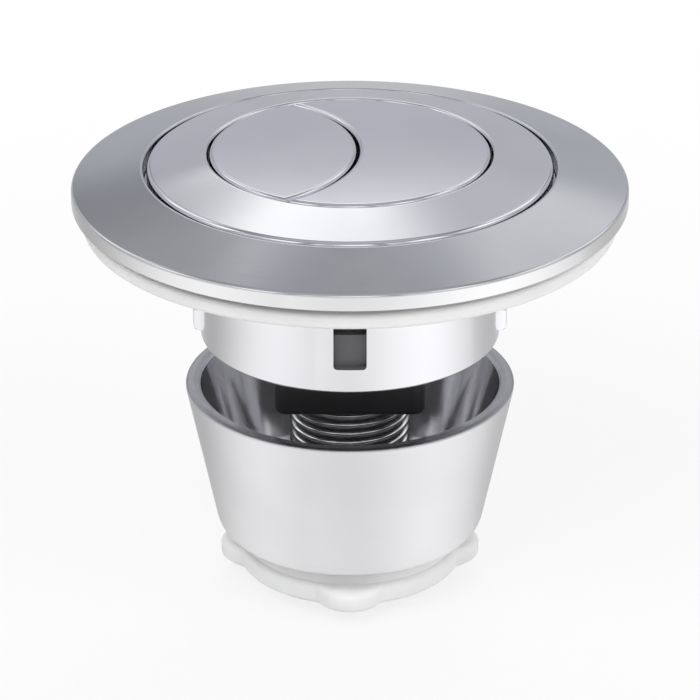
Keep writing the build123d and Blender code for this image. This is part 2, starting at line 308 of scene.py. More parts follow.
# A closed outline of (radius, height, round) corners becomes points. A round of r at a corner whose
# sides meet at angle a starts r / tan(a / 2) from the corner and turns about a centre on the bisector.
def roundedProfile(corners):
    corners = np.array(corners, float)
    points = corners[:, :2]
    toLast = np.roll(points, 1, 0) - points
    toNext = np.roll(points, -1, 0) - points
    toLast /= np.linalg.norm(toLast, axis=1)[:, None]
    toNext /= np.linalg.norm(toNext, axis=1)[:, None]
    share = np.linspace(0, 1, arcSteps + 1)[:, None]
    made = []
    for point, last, following, size in zip(points, toLast, toNext, corners[:, 2]):
        if size == 0:
            made.append(point[None])
            continue
        half = np.arccos(last @ following) / 2
        reach = size / np.tan(half)
        sweep = np.pi - 2 * half
        centre = point + (last + following) / np.linalg.norm(last + following) * size / np.sin(half)
        start, end = point + last * reach, point + following * reach
        fromStart = np.sin((1 - share) * sweep) * (start - centre)
        toEnd = np.sin(share * sweep) * (end - centre)
        arc = centre + (fromStart + toEnd) / np.sin(sweep)
        made.append(np.concatenate([[start + last * guardWidth], arc, [end + following * guardWidth]]))
    return np.concatenate(made)


# Inset and lift along a quarter round of size r: r (1 - sin t) and r (1 - cos t)
def quarterRound(size):
    bend = np.linspace(0, quarter, arcSteps + 1)
    return size * (1 - np.sin(bend)), size * (1 - np.cos(bend))


# Quads of a grid of rows and columns, each way open or closed
def gridFaces(rows, columns, closeRows=True, closeColumns=True):
    r = np.arange(rows if closeRows else rows - 1)
    c = np.arange(columns if closeColumns else columns - 1)
    r, c = np.meshgrid(r, c, indexing="ij")
    rNext, cNext = (r + 1) % rows, (c + 1) % columns
    corners = [r * columns + c, r * columns + cNext, rNext * columns + cNext, rNext * columns + c]
    return np.stack(corners, -1).reshape(-1, 4)


# Turns a profile about Z: x = r cos a, y = r sin a. Radius and height may vary with the angle too.
def turnedPoints(radius, height, angles):
    radius, height, angles = np.broadcast_arrays(radius, height, angles)
    points = np.stack([radius * np.cos(angles), radius * np.sin(angles), height], -1)
    return points.reshape(-1, 3)


def addObject(name, data):
    made = bpy.data.objects.new(name, data)
    bpy.context.scene.collection.objects.link(made)
    return made


mergeDistance = 1e-7


# Puts points (in millimetres) and faces into a mesh, merges seams, turns faces outwards and sets it up
def addPiece(name, points, faces, finish, body, node, sharpDegrees=40):
    mesh = bpy.data.meshes.new(name)
    mesh.from_pydata((np.asarray(points) * mm).tolist(), [], sum((part.tolist() for part in faces), []))
    work = bmesh.new()
    work.from_mesh(mesh)
    bmesh.ops.remove_doubles(work, verts=work.verts, dist=mergeDistance)
    bmesh.ops.dissolve_degenerate(work, edges=work.edges, dist=mergeDistance)
    bmesh.ops.recalc_face_normals(work, faces=work.faces)
    work.to_mesh(mesh)
    work.free()
    mesh.polygons.foreach_set("use_smooth", np.ones(len(mesh.polygons), bool))
    mesh.set_sharp_from_angle(angle=np.radians(sharpDegrees))
    mesh.materials.append(finishes[finish])
    piece = addObject(name, mesh)
    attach(piece, body)
    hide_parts(node)
    print(f"{name}: {len(mesh.polygons)} faces")
    return piece


def addTurned(name, corners, finish, body, node, steps=256):
    profile = roundedProfile(corners)
    angles = np.linspace(0, turn, steps, endpoint=False)
    points = turnedPoints(profile[:, :1], profile[:, 1:], angles)
    addPiece(name, points, [gridFaces(len(profile), steps)], finish, body, node)


# Height on the cone through two (radius, height) points
def slopeAt(radius, inner, outer):
    return inner[1] + (radius - inner[0]) / (outer[0] - inner[0]) * (outer[1] - inner[1])


# Seal under the ring: a broad foot, a crest that slopes to a thin edge, and a ledge for the ring's pot
sealShape = {
    "hole": 20.5, "step": 28.15, "ledge": 1.9, "edge": 2.0, "slope": 3.4,
    "edgeRound": 0.7, "crestRound": 1.6, "stepRound": 0.4, "fine": 0.2,
}


def makeSeal():
    s = sealShape
    outer, crest = radiusOf("gasket"), topOf("gasket")
    corners = [
        (s["hole"], 0, s["fine"]),
        (outer, 0, s["edgeRound"]),
        (outer, s["edge"], s["edgeRound"]),
        (outer - s["slope"], crest, s["crestRound"]),
        (s["step"], crest, s["stepRound"]),
        (s["step"], s["ledge"], s["fine"]),
        (s["hole"], s["ledge"], s["fine"]),
    ]
    addTurned("lidSeal", corners, "seal", "head", "gasket")


# Cover ring: a shallow cone with a stepped recess for the flange and a hollow underside
ringShape = {
    "hole": 21.6, "pot": 28.0, "ledge": 26.6, "recess": 27.8, "seat": 5.6, "floor": 3.7, "crest": 8.2,
    "rimLow": 3.2, "rimTop": 5.5, "rimWall": 2.1, "web": 2.0, "plate": 1.9,
    "edgeRound": 0.45, "crestRound": 0.3, "fine": 0.15, "steps": 320,
    # The edge's brighter tone is a painted highlight
    "edgeHighlightTone": (0.86, 0.86, 0.87), "edgeRough": -0.05,
}


# The ring's edge is smoother than its face, and brighter by a painted highlight. The mask is the radius
# over the edge's round.
def dressRing():
    s = ringShape
    outer = radiusOf("cover_ring")
    group, _, out = newGroup("ringEdge", {}, {"edge": "Float"})
    distance = axisDistance(group, objectPlace(group))
    feed(group, out["edge"], softStep(group, distance, (outer - s["edgeRound"]) * mm, outer * mm))
    edge = addMasks("ring", group)["edge"]
    overlay(finishes["ring"], edge, s["edgeHighlightTone"], edge, s["edgeRough"])


def makeRing():
    s = ringShape
    outer, low = radiusOf("cover_ring"), lowOf("cover_ring")
    crest, edge = (s["recess"], s["crest"]), (outer, s["rimTop"])
    grooveIn, grooveOut = s["pot"] + s["web"], outer - s["rimWall"]
    corners = [
        (s["hole"], low, s["fine"]),
        (s["pot"], low, s["fine"]),
        (s["pot"], s["rimLow"], 0),
        (grooveIn, s["rimLow"], 0),
        (grooveIn, slopeAt(grooveIn, crest, edge) - s["plate"], 0),
        (grooveOut, slopeAt(grooveOut, crest, edge) - s["plate"], 0),
        (grooveOut, s["rimLow"], 0),
        (outer, s["rimLow"], s["edgeRound"]),
        (*edge, s["edgeRound"]),
        (*crest, s["crestRound"]),
        (s["recess"], s["seat"], s["fine"]),
        (s["ledge"], s["seat"], s["fine"]),
        (s["ledge"], s["floor"], s["fine"]),
        (s["hole"], s["floor"], s["fine"]),
    ]
    addTurned("coverRing", corners, "ring", "head", "cover_ring", s["steps"])


# Housing: flange and barrel in one, with hook windows (angle, bottom, top) through the wall
housingShape = {
    "bore": 19.2, "barrel": 20.4, "stemHole": 8.38, "floor": -13.95, "crown": 10.05, "rim": 8.2,
    "seat": 5.6, "rimWall": 2.0, "plate": 2.0,
    "rimRound": 0.7, "openingRound": 0.4, "underRound": 0.3, "footRound": 0.6,
    "fine": 0.15, "windowWidth": 4.4, "windowRound": 0.5, "windowSteps": 5, "columns": 240, "digits": 6,
    "windows": [(270, -12.95, 4.05), (90, -12.95, 4.05), (180, -5.1, 4.05)],
}


# Wall rows and columns stand at r (1 - cos t) from each window edge, so that a window corner's arc runs
# along the diagonals of the grid's cells. Lines that are equal when rounded are one.
def wallLines():
    s = housingShape
    offsets = s["windowRound"] * (1 - np.cos(np.linspace(0, quarter, s["windowSteps"] + 1)))
    half = s["windowWidth"] / 2
    edges = np.concatenate([offsets - half, half - offsets]) / s["barrel"]
    rows = [np.concatenate([bottom + offsets, top - offsets]) for _, bottom, top in s["windows"]]
    columns = [np.radians(angle) + edges for angle, _, _ in s["windows"]]
    columns.append(np.linspace(0, turn, s["columns"], endpoint=False))
    rows, columns = (np.round(np.concatenate(lines), s["digits"]) for lines in (rows, columns))
    return offsets, np.unique(rows), np.unique(columns)


# The whole section as one loop, with the places of the outer wall's first row and the inner wall's last
def housingSection(rows):
    s = housingShape
    low, outer = lowOf("housing"), radiusOf("housing")
    hollow = outer - s["rimWall"]
    opening, edge = (s["bore"], s["crown"]), (outer, s["rim"])
    foot = roundedProfile([
        (s["stemHole"], low, 0),
        (s["barrel"], low, s["footRound"]),
        (s["barrel"], rows[0], 0),
        (s["stemHole"], s["floor"], 0),
    ])[:-2]
    head = roundedProfile([
        (s["barrel"], rows[-1], 0),
        (s["barrel"], slopeAt(s["barrel"], opening, edge) - s["plate"], s["underRound"]),
        (hollow, slopeAt(hollow, opening, edge) - s["plate"], s["underRound"]),
        (hollow, s["seat"], s["fine"]),
        (outer, s["seat"], s["rimRound"]),
        (*edge, s["rimRound"]),
        (*opening, s["openingRound"]),
        (s["bore"], rows[-1], 0),
    ])[1:-1]
    outside = np.column_stack([np.full(len(rows), s["barrel"]), rows])
    inside = np.column_stack([np.full(len(rows), s["bore"]), rows])
    floor = [(s["bore"], s["floor"]), (s["stemHole"], s["floor"])]
    section = np.concatenate([foot, outside, head, inside[::-1], floor])
    return section, len(foot), len(section) - len(floor) - 1


# For each cell between neighbouring lines, its count of steps in from the nearer of two edges, up to the
# number of steps, or -1 outside the edges
def stepsInside(lines, low, high, offsets):
    middle = (lines[:-1] + lines[1:]) / 2
    fromEdge = np.minimum(middle - low, high - middle)
    return np.where(fromEdge < 0, -1, np.searchsorted(offsets, fromEdge) - 1)


# A cell whose steps across and along add up to more than the corner's diagonal is cut out, and a cell on
# the diagonal keeps the triangle at its corner away from the window's middle. Corners 0 to 3 of a cell
# are its own row and column, the next column, both next, and the next row.
def cutWindows(quads, offsets, rows, columns, outerFirst, innerLast):
    s = housingShape
    diagonal = s["windowSteps"] - 1
    half = s["windowWidth"] / 2 / s["barrel"]
    around = np.append(columns, columns[0] + turn)
    keep = np.ones(quads.shape[:2], bool)
    triangles = []
    for angle, bottom, top in s["windows"]:
        centre = np.radians(angle)
        across = stepsInside(around, centre - half, centre + half, offsets / s["barrel"])
        along = stepsInside(rows, bottom, top, offsets)[:, None]
        depth = np.where((along < 0) | (across < 0), -1, along + across)
        row, column = np.nonzero(depth == diagonal)
        isLow = rows[row] + rows[row + 1] < bottom + top
        isFirst = around[column] + around[column + 1] < 2 * centre
        for wallRows, lowerFirst in (
            (outerFirst + np.arange(len(rows) - 1), isLow),
            (innerLast - 1 - np.arange(len(rows) - 1), ~isLow),
        ):
            keep[wallRows] &= depth < diagonal
            away = np.where(lowerFirst, np.where(isFirst, 0, 1), np.where(isFirst, 3, 2))
            picks = (away[:, None] + np.array([-1, 0, 1])) % 4
            triangles.append(np.take_along_axis(quads[wallRows[row], column], picks, 1))
    return quads[keep], np.concatenate(triangles)


# The open edges of the outer wall are joined to the same places on the inner wall
def windowReveals(quads, triangles, rows, columns, outerFirst, innerLast):
    pairs = [quads[:, [a, (a + 1) % 4]] for a in range(4)]
    pairs += [triangles[:, [a, (a + 1) % 3]] for a in range(3)]
    unique, counts = np.unique(np.sort(np.concatenate(pairs), 1), axis=0, return_counts=True)
    edges = unique[counts == 1]
    row, column = edges // len(columns), edges % len(columns)
    isOuter = (row < outerFirst + len(rows)).all(1)
    partner = (innerLast - (row - outerFirst)) * len(columns) + column
    return np.column_stack([edges, partner[:, ::-1]])[isOuter]


# A snap lug's profile is carried round the barrel, and drawn in to the wall along an arc at both ends
lugShape = {
    "proud": 1.0, "width": 6.0, "height": 5.2, "ramp": 2.3, "foot": 1.2, "root": 19.8, "footRound": 0.5,
    "rampRound": 1.2, "rampEnd": 0.6, "endShare": 0.2, "columns": 25, "angles": (0, 180),
}


def lugSurface(degrees):
    s = lugShape
    barrel = housingShape["barrel"]
    foot = lowOf("housing") + s["foot"]
    head = foot + s["height"]
    profile = roundedProfile([
        (s["root"], foot, 0),
        (barrel + s["proud"], foot, s["footRound"]),
        (barrel + s["proud"], head - s["ramp"], s["rampRound"]),
        (s["root"], head + s["rampEnd"], 0),
    ])
    share = np.linspace(-1, 1, s["columns"])
    drawn = np.clip((np.abs(share) - 1 + s["endShare"]) / s["endShare"], 0, 1)
    radius = s["root"] + (profile[:, :1] - s["root"]) * np.sqrt(1 - drawn**2)
    angles = np.radians(degrees) + share * s["width"] / 2 / barrel
    faces = gridFaces(len(profile), len(share), closeColumns=False)
    return turnedPoints(radius, profile[:, 1:], angles), faces


def makeHousing():
    offsets, rows, columns = wallLines()
    section, outerFirst, innerLast = housingSection(rows)
    points = turnedPoints(section[:, :1], section[:, 1:], columns)
    quads = gridFaces(len(section), len(columns)).reshape(len(section), len(columns), 4)
    quads, triangles = cutWindows(quads, offsets, rows, columns, outerFirst, innerLast)
    faces = [quads, triangles, windowReveals(quads, triangles, rows, columns, outerFirst, innerLast)]
    for degrees in lugShape["angles"]:
        lugPoints, lugFaces = lugSurface(degrees)
        faces.append(lugFaces + len(points))
        points = np.concatenate([points, lugPoints])
    addPiece("buttonHousing", points, faces, "housing", "head", "housing")


# Stem: two pipe threads with rounded crests, cut into a spigot with a nose chamfer and a wider thread
stemShape = {
    "bore": 3.6, "major": 8.33, "spigot": 6.58, "flange": 2.0, "shoulder": -36.45, "flangeRadius": 9.43,
    "pitch": 1.337, "depth": 0.82, "crestPower": 1.5, "chamfer": 2.2, "bevel": 0.8, "rowsPerTurn": 14,
    # The roots' dark tone is painted shade, with thinner plating there too
    "steps": 144, "sharp": 60, "shadeStartDepth": 0.15, "rootShadeTone": (0.32, 0.32, 0.33), "rootRough": 0.15,
}


# In the thread's roots the plating is duller, and darker: painted shade in the recess, with thinner plating
# there too. The mask is the depth below the crest.
def dressThread():
    s = stemShape
    group, _, out = newGroup("threadRoots", {}, {"root": "Float"})
    place = objectPlace(group)
    isWide = mathNode(group, "GREATER_THAN", axesOf(group, place)["Z"], s["shoulder"] * mm)
    crest = mathNode(group, "MULTIPLY_ADD", isWide, (s["major"] - s["spigot"]) * mm, s["spigot"] * mm)
    depth = mathNode(group, "SUBTRACT", crest, axisDistance(group, place))
    feed(group, out["root"], softStep(group, depth, s["shadeStartDepth"] * mm, s["depth"] * mm))
    roots = addMasks("stem", group)["root"]
    overlay(finishes["stem"], roots, s["rootShadeTone"], roots, s["rootRough"])


# A thread's depth follows a cosine of height over pitch less the share of a turn, raised to a power that
# widens its crests. It fades out in the last pitch under the flange.
def makeStem():
    s = stemShape
    top, tip = topOf("threaded_stem"), lowOf("threaded_stem")
    neck = top - s["flange"]
    z = np.linspace(tip, neck, int(s["rowsPerTurn"] / s["pitch"] * (neck - tip)))[:, None]
    isSpigot = z < s["shoulder"]
    spigot = np.minimum(s["spigot"], s["spigot"] - s["chamfer"] + (z - tip))
    wide = np.minimum(s["major"], s["major"] - s["bevel"] + (z - s["shoulder"]))
    plain = np.where(isSpigot, spigot, wide)
    angles = np.linspace(0, turn, s["steps"], endpoint=False)
    wave = 0.5 - 0.5 * np.cos(turn * z / s["pitch"] - angles)
    crest = np.where(isSpigot, s["spigot"], s["major"])
    threaded = np.minimum(plain, crest - s["depth"] * wave ** s["crestPower"])
    fade = np.clip((neck - z) / s["pitch"], 0, 1)
    threaded = threaded * fade + plain * (1 - fade)
    flange, bore = s["flangeRadius"], s["bore"]
    ends = np.array([(flange, neck), (flange, top), (bore, top), (bore, tip)])
    radius = np.concatenate([threaded, np.repeat(ends[:, :1], s["steps"], 1)])
    height = np.concatenate([z, ends[:, 1:]])
    faces = [gridFaces(len(height), s["steps"])]
    points = turnedPoints(radius, height, angles)
    addPiece("threadedStem", points, faces, "stem", "head", "threaded_stem", s["sharp"])


# Square backnut: a rounded square path carries the edge round, and its flat ends run in to the round bore
blockShape = {
    "bore": 8.38, "corner": 1.7, "edgeRound": 0.8, "cornerSteps": 8, "sideSteps": 10, "guard": 0.1,
}


# One side and one corner, turned by quarters
def squarePath(half, corner):
    s = blockShape
    arc = np.linspace(0, quarter, s["cornerSteps"] + 1)
    straight = half - corner
    side = np.linspace(-straight, straight, s["sideSteps"] + 1)[1:-1]
    bend = np.column_stack([straight + corner * np.cos(arc), straight + corner * np.sin(arc)])
    first = np.concatenate([np.column_stack([np.full(len(side), half), side]), bend])
    quarterTurn = np.array([[0, 1], [-1, 0]])
    return np.concatenate([first @ np.linalg.matrix_power(quarterTurn, n) for n in range(4)])


def makeBlock():
    s = blockShape
    half = radiusOf("backnut")
    low, high = lowOf("backnut"), topOf("backnut")
    inset, lift = quarterRound(s["edgeRound"])
    rows = [squarePath(half - i, s["corner"] - i) for i in inset]
    outline = rows[0]
    bore = s["bore"] * outline / np.linalg.norm(outline, axis=1)[:, None]
    guard = outline * (1 - s["guard"] / half)
    loops = np.stack([bore, guard, *rows, *rows[::-1], guard, bore])
    levels = np.concatenate([[low, low], low + lift, high - lift[::-1], [high, high]])
    height = np.broadcast_to(levels[:, None, None], (*loops.shape[:2], 1))
    points = np.concatenate([loops, height], 2).reshape(-1, 3)
    faces = [gridFaces(len(loops), len(outline))]
    addPiece("squareBacknut", points, faces, "block", "head", "backnut")


# Clamp cup: straight tapered wall, flat rim, rounded foot. Satin outside, bright inside, and a rim darkened
# by a painted dark reflection.
cupShape = {
    "rimWidth": 2.05, "taper": 11.9, "floor": 2.0, "hole": 6.88, "footRound": 3.0, "cornerRound": 1.5,
    # The rim's dark tone is a painted dark reflection
    "rimRound": 0.3, "holeRound": 0.2, "rimDarkReflectionTone": (0.42, 0.42, 0.44), "rimShares": (0.5, 0.1),
    "satin": 0.235, "blend": 0.3, "innerMetal": 0.84, "outerMetal": 0.95,
}
cupSlope = np.tan(np.radians(cupShape["taper"]))


# A point lies outside where its radius is over the middle of the tapered wall at its height. The rim's
# painted dark reflection sets in between two shares of its round, from the top. The thin plate scatters a
# little light, and more of it inside.
def dressCup():
    s = cupShape
    high = topOf("clamp_cup")
    group, _, out = newGroup("cupWall", {}, {"outside": "Float", "rim": "Float", "metal": "Float"})
    place = objectPlace(group)
    z = axesOf(group, place)["Z"]
    base = radiusOf("clamp_cup") - s["rimWidth"] / 2 - high * cupSlope
    middle = mathNode(group, "MULTIPLY_ADD", z, cupSlope, base * mm)
    proud = mathNode(group, "SUBTRACT", axisDistance(group, place), middle)
    outside = softStep(group, proud, -s["blend"] * mm, s["blend"] * mm)
    rimStart, rimFull = (high - share * s["rimRound"] for share in s["rimShares"])
    gain = s["outerMetal"] - s["innerMetal"]
    feed(group, out["outside"], outside)
    feed(group, out["rim"], softStep(group, z, rimStart * mm, rimFull * mm))
    feed(group, out["metal"], mathNode(group, "MULTIPLY_ADD", outside, gain, s["innerMetal"]))
    wall = addMasks("cup", group)
    overlay(finishes["cup"], wall["rim"], s["rimDarkReflectionTone"], wall["outside"], s["satin"])
    feed(finishes["cup"].node_tree, shaderOf(finishes["cup"]).inputs["Metallic"], wall["metal"])


def makeCup():
    s = cupShape
    low, high = lowOf("clamp_cup"), topOf("clamp_cup")
    rim = radiusOf("clamp_cup")
    inner = rim - s["rimWidth"]
    floor = low + s["floor"]
    corners = [
        (s["hole"], low, s["holeRound"]),
        (rim - (high - low) * cupSlope, low, s["footRound"]),
        (rim, high, s["rimRound"]),
        (inner, high, s["rimRound"]),
        (inner - (high - floor) * cupSlope, floor, s["cornerRound"]),
        (s["hole"], floor, s["holeRound"]),
    ]
    addTurned("clampCup", corners, "cup", "cup", "clamp_cup")


# Clamp nut: a ring with a groove, and four lobes. A lobe is a circle off centre, in polar form
# c cos a + sqrt(r r - c c sin a sin a), blended into the round foot by a soft maximum, log(1 + exp).
nutShape = {
    "bore": 6.63, "foot": 15.5, "rim": 14.2, "rimWall": 1.2, "collar": 8.53, "web": 1.6, "shoulder": 0.4,
    "lobeProud": 2.5, "lobeRadius": 4.4, "lobeHeight": 3.0, "softness": 0.35,
    "edgeRound": 0.8, "grooveRound": 0.7, "fine": 0.3, "steps": 240,
}


def lobeReach(angles):
    s = nutShape
    centre = s["foot"] + s["lobeProud"] - s["lobeRadius"]
    toLobe = (angles + quarter / 2) % quarter - quarter / 2
    inside = s["lobeRadius"] ** 2 - (centre * np.sin(toLobe)) ** 2
    lobe = np.where(inside > 0, centre * np.cos(toLobe) + np.sqrt(np.maximum(inside, 0)), 0)
    over = np.log1p(np.exp((lobe - s["foot"]) / s["softness"]))
    return over / over.max()


def makeNut():
    s = nutShape
    low, high = lowOf("clamp_nut"), topOf("clamp_nut")
    lobeTop = low + s["lobeHeight"]
    groove = s["rim"] - s["rimWall"]
    waist = slopeAt(lobeTop, (low, s["foot"]), (high, s["rim"]))
    inset, lift = quarterRound(s["edgeRound"])
    # Rows of radius, height and reach of the lobes: the lobed skirt, its top edge, then the round ring
    skirt = np.column_stack([s["foot"] - inset, low + lift, s["lobeProud"] - inset])
    crest = np.column_stack([s["foot"] - inset, lobeTop - lift, s["lobeProud"] - inset])[::-1]
    ring = roundedProfile([
        (waist, lobeTop, 0),
        (waist, lobeTop + s["shoulder"], 0),
        (s["rim"], high, s["fine"]),
        (groove, high, s["fine"]),
        (groove, low + s["web"], s["grooveRound"]),
        (s["collar"], low + s["web"], s["grooveRound"]),
        (s["collar"], high, s["fine"]),
        (s["bore"], high, s["fine"]),
        (s["bore"], low, s["fine"]),
    ])
    rows = np.concatenate([skirt, crest, np.column_stack([ring, np.zeros(len(ring))])])
    angles = np.linspace(0, turn, s["steps"], endpoint=False)
    points = turnedPoints(rows[:, :1] + rows[:, 2:] * lobeReach(angles), rows[:, 1:2], angles)
    faces = [gridFaces(len(rows), s["steps"])]
    addPiece("clampNut", points, faces, "nut", "nut", "clamp_nut")


# Button caps. A cap's plan lies between an arc of the face's edge and the arc that divides the buttons;
# drawn in by d, both radii change by d and the arcs meet at new tips. The face is a shallow dome.
capShape = {
    "radius": 18.9, "divide": 20.1, "reach": 1.1, "gap": 0.4, "crown": 10.05, "dome": 0.3, "skirt": 5.55,
    "roof": 8.85, "wall": 1.2, "edgeRound": 0.55, "around": 96, "across": 24, "sharp": 50,
}


# Points along both arcs, from tip to tip, for the lens (side -1) or the crescent (side 1)
def capArcs(side, inset):
    s = capShape
    edge = s["radius"] - inset
    divide = s["divide"] + side * (s["gap"] / 2 + inset)
    x = s["reach"] - s["divide"]
    tipX = (edge**2 - divide**2 + x**2) / (2 * x)
    tipY = np.sqrt(edge**2 - tipX**2)
    share = (1 - np.cos(np.linspace(0, np.pi, s["around"]))) / 2
    tip = np.arctan2(tipY, tipX)
    start, end = (tip, turn - tip) if side < 0 else (tip, -tip)
    along = start + share * (end - start)
    bow = np.arctan2(tipY, tipX - x) * (1 - 2 * share)
    outerArc = edge * np.column_stack([np.cos(along), np.sin(along)])
    divideArc = np.column_stack([x + divide * np.cos(bow), divide * np.sin(bow)])
    return outerArc, divideArc


# The dome falls with the square of the distance from the axis
def faceHeight(points):
    s = capShape
    return s["crown"] + s["dome"] * (1 - (points**2).sum(-1) / s["radius"] ** 2)


# Loops run from the underside of the roof, down and up the skirt and over the edge round. Top and
# underside then run straight across from arc to arc.
def makeCap(name, side, body, node):
    s = capShape
    drop, inset = quarterRound(s["edgeRound"])
    insets = np.concatenate([[s["wall"], s["wall"], 0], inset, [s["edgeRound"] + guardWidth]])
    arcs = [capArcs(side, inset) for inset in insets]
    loops = np.stack([np.concatenate([outerArc, divideArc[-2:0:-1]]) for outerArc, divideArc in arcs])
    height = np.empty(loops.shape[:2])
    height[0] = s["roof"]
    height[1:3] = s["skirt"]
    height[3:] = faceHeight(loops[3:]) - np.append(drop, 0)[:, None]
    across = np.linspace(0, 1, s["across"])[:, None, None]
    top, under = (first * (1 - across) + second * across for first, second in (arcs[-1], arcs[0]))
    roof = np.full(under.shape[:2], s["roof"])
    sheets = [np.dstack([loops, height]), np.dstack([top, faceHeight(top)]), np.dstack([under, roof])]
    patch = gridFaces(s["across"], s["around"], closeRows=False, closeColumns=False)
    firstTop = loops.shape[0] * loops.shape[1]
    firstUnder = firstTop + top.shape[0] * top.shape[1]
    faces = [gridFaces(*loops.shape[:2], closeRows=False), patch + firstTop, patch + firstUnder]
    points = np.concatenate([sheet.reshape(-1, 3) for sheet in sheets])
    addPiece(name, points, faces, "button", body, node, s["sharp"])


# Return springs: round wire along a helix with closed end turns. They shorten with the button.
springShape = {
    "coil": 3.0, "wire": 0.7, "turns": 7, "closed": 1.0, "travel": 5.0,
    "stepsPerTurn": 40, "ringSteps": 10, "sharp": 60,
}


# Height climbs by one wire over each closed end turn, and evenly between them
def makeSpring(name, node):
    s = springShape
    low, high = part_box(node)
    centre = (low + high) / 2 / mm
    rod, turns, closed = s["wire"] / 2, s["turns"], s["closed"]
    t = np.linspace(0, turns, turns * s["stepsPerTurn"])
    foot, head = low.z / mm + rod, high.z / mm - rod
    levels = [foot, foot + s["wire"], head - s["wire"], head]
    z = np.interp(t, [0, closed, turns - closed, turns], levels)
    out = np.column_stack([np.cos(turn * t), np.sin(turn * t), np.zeros(len(t))])
    core = np.column_stack([np.full(len(t), centre.x), np.full(len(t), centre.y), z])
    path = core + (s["coil"] - rod) * out
    along = np.gradient(path, axis=0)
    along /= np.linalg.norm(along, axis=1)[:, None]
    up = np.cross(along, out)
    ring = np.linspace(0, turn, s["ringSteps"], endpoint=False)[None, :, None]
    section = np.cos(ring) * out[:, None] + np.sin(ring) * up[:, None]
    points = (path[:, None] + rod * section).reshape(-1, 3)
    firstEnd = np.arange(s["ringSteps"])[None]
    ends = [firstEnd, firstEnd + len(points) - s["ringSteps"]]
    faces = [gridFaces(len(t), s["ringSteps"], closeRows=False), *ends]
    spring = addPiece(name, points, faces, "steel", "head", node, s["sharp"])
    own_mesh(spring)


dressThread()
dressCup()
dressRing()
makeSeal()
makeRing()
makeHousing()
makeStem()
makeBlock()
makeCup()
makeNut()
makeCap("halfFlushCap", -1, "half_button", "half_flush_cap")
makeCap("fullFlushCap", 1, "full_button", "full_flush_cap")
makeSpring("halfFlushSpring", "half_flush_spring")
makeSpring("fullFlushSpring", "full_flush_spring")

# Inner pieces keep their solids and take a finish
innerFinish = {
    "half_flush_plunger": "plunger", "full_flush_plunger": "plunger",
    "half_flush_rod": "rod", "full_flush_rod": "rod",
    "half_rod_screw": "steel", "full_rod_screw": "steel", "insert_screws": "steel",
    "guide_insert": "insert", "stem_washer": "washer",
}
for node, finish in innerFinish.items():
    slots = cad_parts[node].data.materials
    slots.clear()
    slots.append(finishes[finish])
print("inner pieces:", len(innerFinish))


# Shaders are laid over each other in turn, each by its own factor
def layered(tree, base, *layers):
    for factor, layer in layers:
        mix = addNode(tree, "ShaderNodeMixShader")
        feed(tree, mix.inputs["Fac"], factor)
        feed(tree, mix.inputs[1], base)
        feed(tree, mix.inputs[2], layer)
        base = mix.outputs[0]
    return base


# A pale floor under the stem's tip. The camera sees it lifted towards white, and wholly white far off.
# Metal sees it in soft lobes round the axis, pale near the object and lavender grey far off.
floorShape = {
    "half": 3.0, "tone": (0.82, 0.82, 0.82), "cameraLift": 0.80, "liftStart": 0.05, "liftEnd": 0.22,
    "metalLift": 0.85, "near": 0.77, "frontLobe": 0.20, "rightLobe": 0.04, "sideLobes": 0.165,
    "sectorLeft": (-26, -22), "sectorRight": (97, 103), "sectorLift": 0.07,
    "lobeStart": 0.66, "lobeGrowth": 12.9, "lobeLimit": 1.5, "fadeStart": 0.15, "fadeEnd": 0.60,
    "farTone": (0.46, 0.465, 0.50),
}


# The floor as metal sees it, at angle a from the front and distance r, is near (1 + k w). The lobes w are
# p cos a + s sin a - q cos 3a, with a paler sector between two angles. Their strength k grows with r up
# to a limit, and the floor fades to the far tone.
def floorInMetal(tree):
    s = floorShape
    place = objectPlace(tree)
    axes = axesOf(tree, place)
    distance = axisDistance(tree, place)
    angle = mathNode(tree, "ARCTAN2", axes["X"], mathNode(tree, "MULTIPLY", axes["Y"], -1))
    tripled = mathNode(tree, "MULTIPLY", angle, 3)
    left, right = (softStep(tree, angle, *np.radians(s[side])) for side in ("sectorLeft", "sectorRight"))
    lobes = mathNode(tree, "MULTIPLY", mathNode(tree, "SUBTRACT", left, right), s["sectorLift"])
    lobes = mathNode(tree, "MULTIPLY_ADD", mathNode(tree, "COSINE", angle), s["frontLobe"], lobes)
    lobes = mathNode(tree, "MULTIPLY_ADD", mathNode(tree, "SINE", angle), s["rightLobe"], lobes)
    lobes = mathNode(tree, "MULTIPLY_ADD", mathNode(tree, "COSINE", tripled), -s["sideLobes"], lobes)
    growth = mathNode(tree, "MULTIPLY_ADD", distance, s["lobeGrowth"], s["lobeStart"])
    growth = mathNode(tree, "MINIMUM", growth, s["lobeLimit"])
    near = mathNode(tree, "MULTIPLY", mathNode(tree, "MULTIPLY_ADD", lobes, growth, 1), s["near"])
    return colourMix(tree, softStep(tree, distance, s["fadeStart"], s["fadeEnd"]), near, s["farTone"])


